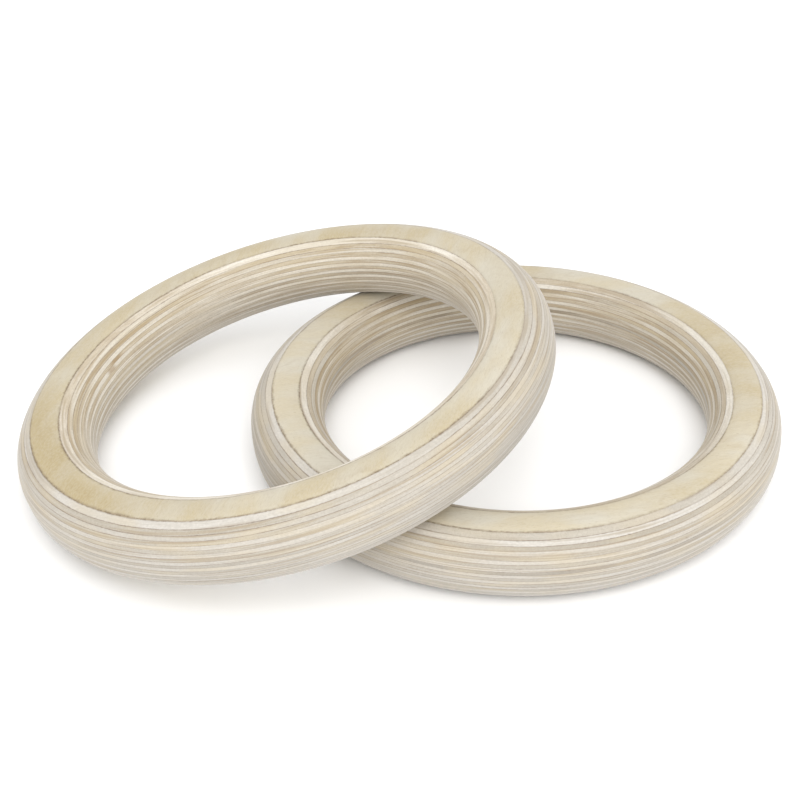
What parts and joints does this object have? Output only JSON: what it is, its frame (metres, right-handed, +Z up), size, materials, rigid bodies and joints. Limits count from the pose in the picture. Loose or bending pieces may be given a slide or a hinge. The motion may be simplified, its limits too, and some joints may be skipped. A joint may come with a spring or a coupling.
{
  "type": "gymnastics rings",
  "caption": "Pair of round wooden gymnastics rings laminated from birch veneers, one lying flat and the other leaning on it.",
  "frame": {"origin": "on the floor, under the middle of the pair's bounding box", "axes": "+X from the leaning ring's centre to the flat ring's centre, +Z up"},
  "size_m": [0.3334, 0.235, 0.077],
  "materials": {
    "face_veneer": "sanded birch face veneer, matt, uncoated",
    "core_veneer_long_grain": "sanded birch veneer edge, matt, uncoated, grain along the X axis of its ring",
    "core_veneer_cross_grain": "sanded birch veneer edge, matt, uncoated, grain across the X axis of its ring"
  },
  "bodies": {
    "flat_ring": {"flat_ring_top_face_veneer": "face_veneer", "flat_ring_core_veneer_01": "core_veneer_cross_grain", "flat_ring_core_veneer_02": "core_veneer_long_grain", "flat_ring_core_veneer_03": "core_veneer_cross_grain", "flat_ring_core_veneer_04": "core_veneer_long_grain", "flat_ring_core_veneer_05": "core_veneer_cross_grain", "flat_ring_core_veneer_06": "core_veneer_long_grain", "flat_ring_core_veneer_07": "core_veneer_cross_grain", "flat_ring_core_veneer_08": "core_veneer_long_grain", "flat_ring_core_veneer_09": "core_veneer_cross_grain", "flat_ring_core_veneer_10": "core_veneer_long_grain", "flat_ring_core_veneer_11": "core_veneer_cross_grain", "flat_ring_core_veneer_12": "core_veneer_long_grain", "flat_ring_core_veneer_13": "core_veneer_cross_grain", "flat_ring_core_veneer_14": "core_veneer_long_grain", "flat_ring_core_veneer_15": "core_veneer_cross_grain", "flat_ring_core_veneer_16": "core_veneer_long_grain", "flat_ring_core_veneer_17": "core_veneer_cross_grain", "flat_ring_core_veneer_18": "core_veneer_long_grain", "flat_ring_core_veneer_19": "core_veneer_cross_grain", "flat_ring_core_veneer_20": "core_veneer_long_grain", "flat_ring_core_veneer_21": "core_veneer_cross_grain", "flat_ring_bottom_face_veneer": "face_veneer"},
    "leaning_ring": {"leaning_ring_top_face_veneer": "face_veneer", "leaning_ring_core_veneer_01": "core_veneer_cross_grain", "leaning_ring_core_veneer_02": "core_veneer_long_grain", "leaning_ring_core_veneer_03": "core_veneer_cross_grain", "leaning_ring_core_veneer_04": "core_veneer_long_grain", "leaning_ring_core_veneer_05": "core_veneer_cross_grain", "leaning_ring_core_veneer_06": "core_veneer_long_grain", "leaning_ring_core_veneer_07": "core_veneer_cross_grain", "leaning_ring_core_veneer_08": "core_veneer_long_grain", "leaning_ring_core_veneer_09": "core_veneer_cross_grain", "leaning_ring_core_veneer_10": "core_veneer_long_grain", "leaning_ring_core_veneer_11": "core_veneer_cross_grain", "leaning_ring_core_veneer_12": "core_veneer_long_grain", "leaning_ring_core_veneer_13": "core_veneer_cross_grain", "leaning_ring_core_veneer_14": "core_veneer_long_grain", "leaning_ring_core_veneer_15": "core_veneer_cross_grain", "leaning_ring_core_veneer_16": "core_veneer_long_grain", "leaning_ring_core_veneer_17": "core_veneer_cross_grain", "leaning_ring_core_veneer_18": "core_veneer_long_grain", "leaning_ring_core_veneer_19": "core_veneer_cross_grain", "leaning_ring_core_veneer_20": "core_veneer_long_grain", "leaning_ring_core_veneer_21": "core_veneer_cross_grain", "leaning_ring_bottom_face_veneer": "face_veneer"}
  },
  "joints": [
    {"name": "leaning_ring_lift", "type": "slide", "parent": "flat_ring", "child": "leaning_ring", "axis": [0, 0, 1], "range_m": [0, 0.1]}
  ]
}
